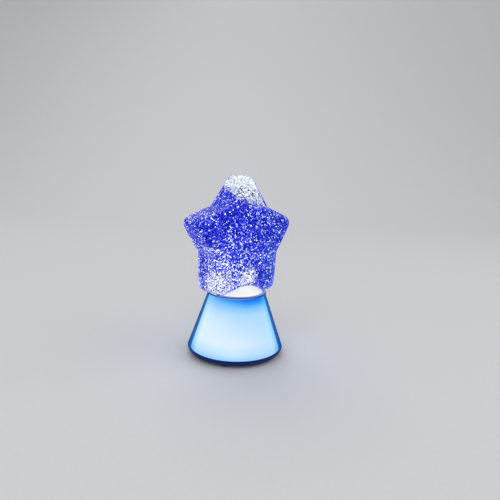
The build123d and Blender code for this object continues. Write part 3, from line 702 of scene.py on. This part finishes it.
# The top point lit almost white as a painted pool of light, with dark specks low in it
above = maths(tree, "ADD", z, times(tree, x, white_slope))
above = maths(tree, "SUBTRACT", above, times(tree, y, white_turn))
above = times(tree, maths(tree, "SUBTRACT", above, white_start), white_steepness)
above = maths(tree, "ADD", above, times(tree, maths(tree, "SUBTRACT", swirl, tone_middle), white_raggedness))
white = maths(tree, "ADD", above, white_offset, clamp=True)
shade = maths(tree, "GREATER_THAN", chance, shade_chance)
shade = times(tree, shade, maths(tree, "LESS_THAN", from_middle, shade_radius))
shade = times(tree, shade, share_of(tree, z, none=0.175, full=0.168))
bright = blend_colours(tree, shade, (0.78, 0.82, 0.76), (0.03, 0.03, 0.12))
depth = blend_colours(tree, white, depth, bright)
connect(
    tree,
    shader,
    Base_Color=blend_colours(tree, liquid_unlit_share, depth, (0.001, 0.002, 0.04)),
    Emission_Color=depth,
    Emission_Strength=1.0,
    Roughness=0.45,
    Specular_IOR_Level=0.0,
)
liquid.data.materials.append(blue_liquid)
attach(liquid, "base")
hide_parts("glitter_liquid")

# Glitter
# Thousands of long four-sided foil flakes that hang in the liquid just behind the vessel's wall.
# One flake is modelled and copied; each copy has its own place, tilt, size and brightness.
# Most lie along a slow turn of the liquid about one arm, and a bright streak of them crosses the front.
flake_count = 24000
flake_sizes = (0.00055, 0.00095)
flake_width_share = 0.62
flake_thickness = 0.00008
flake_tilt = 0.3
dark_flake_growth = 1.4
flake_depths = (0.0002, liquid_draw_in - 0.0001)
stray_start = 0.25
stray_growth = 12
leg_bottom = 0.070
pile_reach = 0.015
notch_reach = 0.013
right_full = 0.04
arm_edge = -0.02
arm_pale = 0.35
leg_edge = -0.025
leg_top = 0.116
leg_back = 0.002
leg_pale = 0.7
streak_height = 0.0855
streak_slope = 0.5
streak_half_width = 0.0011
streak_end = 0.004
streak_back = -0.010
keep_base = 0.28
keep_pale = 0.40
keep_right = -0.08
keep_calm = -0.45
side_face_limit = 0.5
side_face_keep = 0.78
bright_base = 0.41
bright_pale = 0.25
bright_pile = 0.3
bright_calm = -0.3
bright_range = (0.6, 1.0)
dim_range = (0.09, 0.4)
unlit = 0.0
pile_dark_chance = 0.18
streak_brightness = 0.95
white_brightness = 0.9
speckled_top = 0.173
speckled_dark_chance = 0.45
clear_dark_chance = 0.12
swirl_spot = Vector((-0.041, -0.018, 0.129))
calm_spots = (
    (Vector((-0.039, -0.018, 0.131)), 0.017),
    (Vector((-0.022, -0.018, 0.1455)), 0.016),
    (Vector((0.026, -0.018, 0.128)), 0.011),
    (Vector((0.018, -0.018, 0.080)), 0.013),
)
chance_of = random.Random(11)
bpy.ops.object.select_all(action="DESELECT")
bpy.ops.mesh.primitive_circle_add(vertices=4, radius=1.0, fill_type="NGON")
flake = bpy.context.object
bpy.ops.object.mode_set(mode="EDIT")
bpy.ops.mesh.select_all(action="SELECT")
bpy.ops.mesh.extrude_region_move(TRANSFORM_OT_translate={"value": (0, 0, 1.0)})
bpy.ops.mesh.select_all(action="SELECT")
bpy.ops.mesh.normals_make_consistent(inside=False)
bpy.ops.object.mode_set(mode="OBJECT")
corners = [corner.co.copy() for corner in flake.data.vertices]
sides = [list(side.vertices) for side in flake.data.polygons]
bpy.ops.object.delete()
surface = nodes["glitter_liquid"].data
surface.calc_loop_triangles()


def held_share(value, none, full):
    """A share that goes from 0 to 1 between two values."""
    return min(1, max(0, (value - none) / (full - none)))


def closeness(spot, middle, reach):
    """A share that is 1 at a middle and falls below 0 past its reach."""
    return 1 - (spot - middle).length / reach


patches = [patch for patch in surface.loop_triangles if patch.center.z > leg_bottom]
chosen = chance_of.choices(patches, weights=[patch.area for patch in patches], k=flake_count)
points = []
faces = []
glints = []
for patch in chosen:
    # Its place, and how pale, piled up or calm the liquid is there
    first, second, third = (surface.vertices[index].co for index in patch.vertices)
    to_second = chance_of.random()
    to_third = chance_of.random()
    if to_second + to_third > 1:
        to_second = 1 - to_second
        to_third = 1 - to_third
    spot = first + (second - first) * to_second + (third - first) * to_third
    low_share = held_share(spot.z, none=pale_top, full=pale_bottom)
    left_share = held_share(spot.x, none=pale_right, full=pale_left)
    left_share *= held_share(spot.x, none=left_rim_start, full=left_rim_end)
    right_share = held_share(spot.x, none=0, full=right_full)
    pile_share = max(0, closeness(spot, pile_spot, pile_reach), closeness(spot, notch_spot, notch_reach))
    calm_share = max(0, *(closeness(spot, middle, reach) for middle, reach in calm_spots))
    pale_share = max(low_share * left_share, pile_share)
    if spot.x < arm_edge and spot.z - arm_slope * spot.x > arm_start:
        pale_share = max(pale_share, arm_pale)
    if spot.x < leg_edge and spot.z < leg_top and spot.y < leg_back:
        pale_share = max(pale_share, leg_pale)
    streak_gap = abs(spot.z + streak_slope * spot.x - streak_height)
    streak = streak_gap < streak_half_width and spot.x < streak_end and spot.y < streak_back
    if streak:
        pale_share = 1.0
    # Whether it lies in the painted pool of light in the top point
    white_zone = spot.z + white_slope * spot.x - white_turn * spot.y > white_start

    # Whether it is kept
    keep_share = keep_base + keep_pale * pale_share + keep_right * right_share
    keep_share *= 1 + keep_calm * calm_share
    if abs(patch.normal.y) < side_face_limit:
        keep_share *= side_face_keep
    if chance_of.random() > keep_share:
        continue

    # Its brightness and size
    bright_share = bright_base + bright_pale * pale_share + bright_pile * pile_share
    bright_share += bright_calm * calm_share
    if chance_of.random() < bright_share:
        brightness = chance_of.uniform(*bright_range)
    else:
        brightness = chance_of.uniform(*dim_range)
    if pile_share > 0 and chance_of.random() < pile_dark_chance:
        brightness = unlit
    if streak:
        brightness = streak_brightness
    # Flakes in the painted pool of light in the top point are white, with some dark ones among them.
    if white_zone:
        brightness = white_brightness
        dark_chance = speckled_dark_chance if spot.z < speckled_top else clear_dark_chance
        if chance_of.random() < dark_chance:
            brightness = unlit
    size = chance_of.uniform(*flake_sizes)
    if brightness == unlit:
        size *= dark_flake_growth

    # Its depth and the way it lies
    middle = spot - patch.normal * chance_of.uniform(*flake_depths)
    flow = patch.normal.cross(spot - swirl_spot).normalized()
    turn = Matrix((flow, patch.normal.cross(flow), patch.normal)).transposed()
    stray = chance_of.gauss(0, stray_start + stray_growth * (spot - swirl_spot).length)
    turn = turn @ Matrix.Rotation(stray, 3, "Z")
    turn = turn @ Matrix.Rotation(chance_of.uniform(-flake_tilt, flake_tilt), 3, "X")
    turn = turn @ Matrix.Rotation(chance_of.uniform(-flake_tilt, flake_tilt), 3, "Y")
    start = len(points)
    for corner in corners:
        width = corner.y * size * flake_width_share
        points.append(middle + turn @ Vector((corner.x * size, width, corner.z * flake_thickness)))
    faces.extend([start + index for index in side] for side in sides)
    glints.extend([brightness] * len(corners))
glitter_mesh = bpy.data.meshes.new("glitter_foil")
glitter_mesh.from_pydata(points, [], faces)
glint_values = glitter_mesh.attributes.new("glint", "FLOAT", "POINT")
glint_values.data.foreach_set("value", glints)
glitter = bpy.data.objects.new("glitter_foil", glitter_mesh)
bpy.context.scene.collection.objects.link(glitter)
silver_glitter, tree, shader = start_material("silver_glitter")
glint = tree.nodes.new("ShaderNodeAttribute")
glint.attribute_name = "glint"
sparkle = ramp(
    tree,
    glint.outputs["Fac"],
    (0.0, (0.02, 0.015, 0.08)),
    (0.09, (0.003, 0.009, 0.42)),
    (0.48, (0.20, 0.23, 0.95)),
    (1.0, (1.0, 1.0, 1.0)),
)
connect(
    tree,
    shader,
    Base_Color=sparkle,
    Emission_Color=sparkle,
    Emission_Strength=1.6,
    Metallic=0.6,
    Roughness=0.3,
)
glitter.data.materials.append(silver_glitter)
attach(glitter, "base")
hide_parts("glitter_flakes")

# Star vessel
# A thick clear shell with rounded points, blown and polished, standing on the seat with its neck through it.
# Its wall is tinted a faint lavender blue. The liquid wets the inner face, so no gloss shows there.
wet_gap = 0.0004
crease_angle = math.radians(30)
star_shell, tree, shader = start_material("star_shell")
place = places_on(tree)
smear = noise(tree, place, scale=70.0, detail=3.0)
connect(
    tree,
    shader,
    Base_Color=blend_colours(tree, smear, (0.58, 0.65, 0.97), (0.64, 0.70, 0.98)),
    Roughness=between(tree, smear, (0.0, 0.03)),
    Transmission_Weight=1.0,
    IOR=1.24,
)
wet_wall, tree, shader = start_material("wet_wall")
place = places_on(tree)
film = noise(tree, place, scale=160.0, detail=2.0)
connect(
    tree,
    shader,
    Base_Color=blend_colours(tree, film, (0.96, 0.97, 1.0), (1.0, 1.0, 1.0)),
    Roughness=0.0,
    Transmission_Weight=1.0,
    IOR=1.0,
    Specular_IOR_Level=0.0,
)
skin_points = [corner.co for corner in surface.vertices]
liquid_skin = BVHTree.FromPolygons(skin_points, [face.vertices for face in surface.polygons])
wall = merged_copy("star_vessel", "star_wall")
bpy.ops.object.shade_smooth_by_angle(angle=crease_angle)
wall.data.materials.append(star_shell)
wall.data.materials.append(wet_wall)
for face in wall.data.polygons:
    if liquid_skin.find_nearest(face.center)[3] < wet_gap:
        face.material_index = 1
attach(wall, "base")
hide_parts("star_vessel")
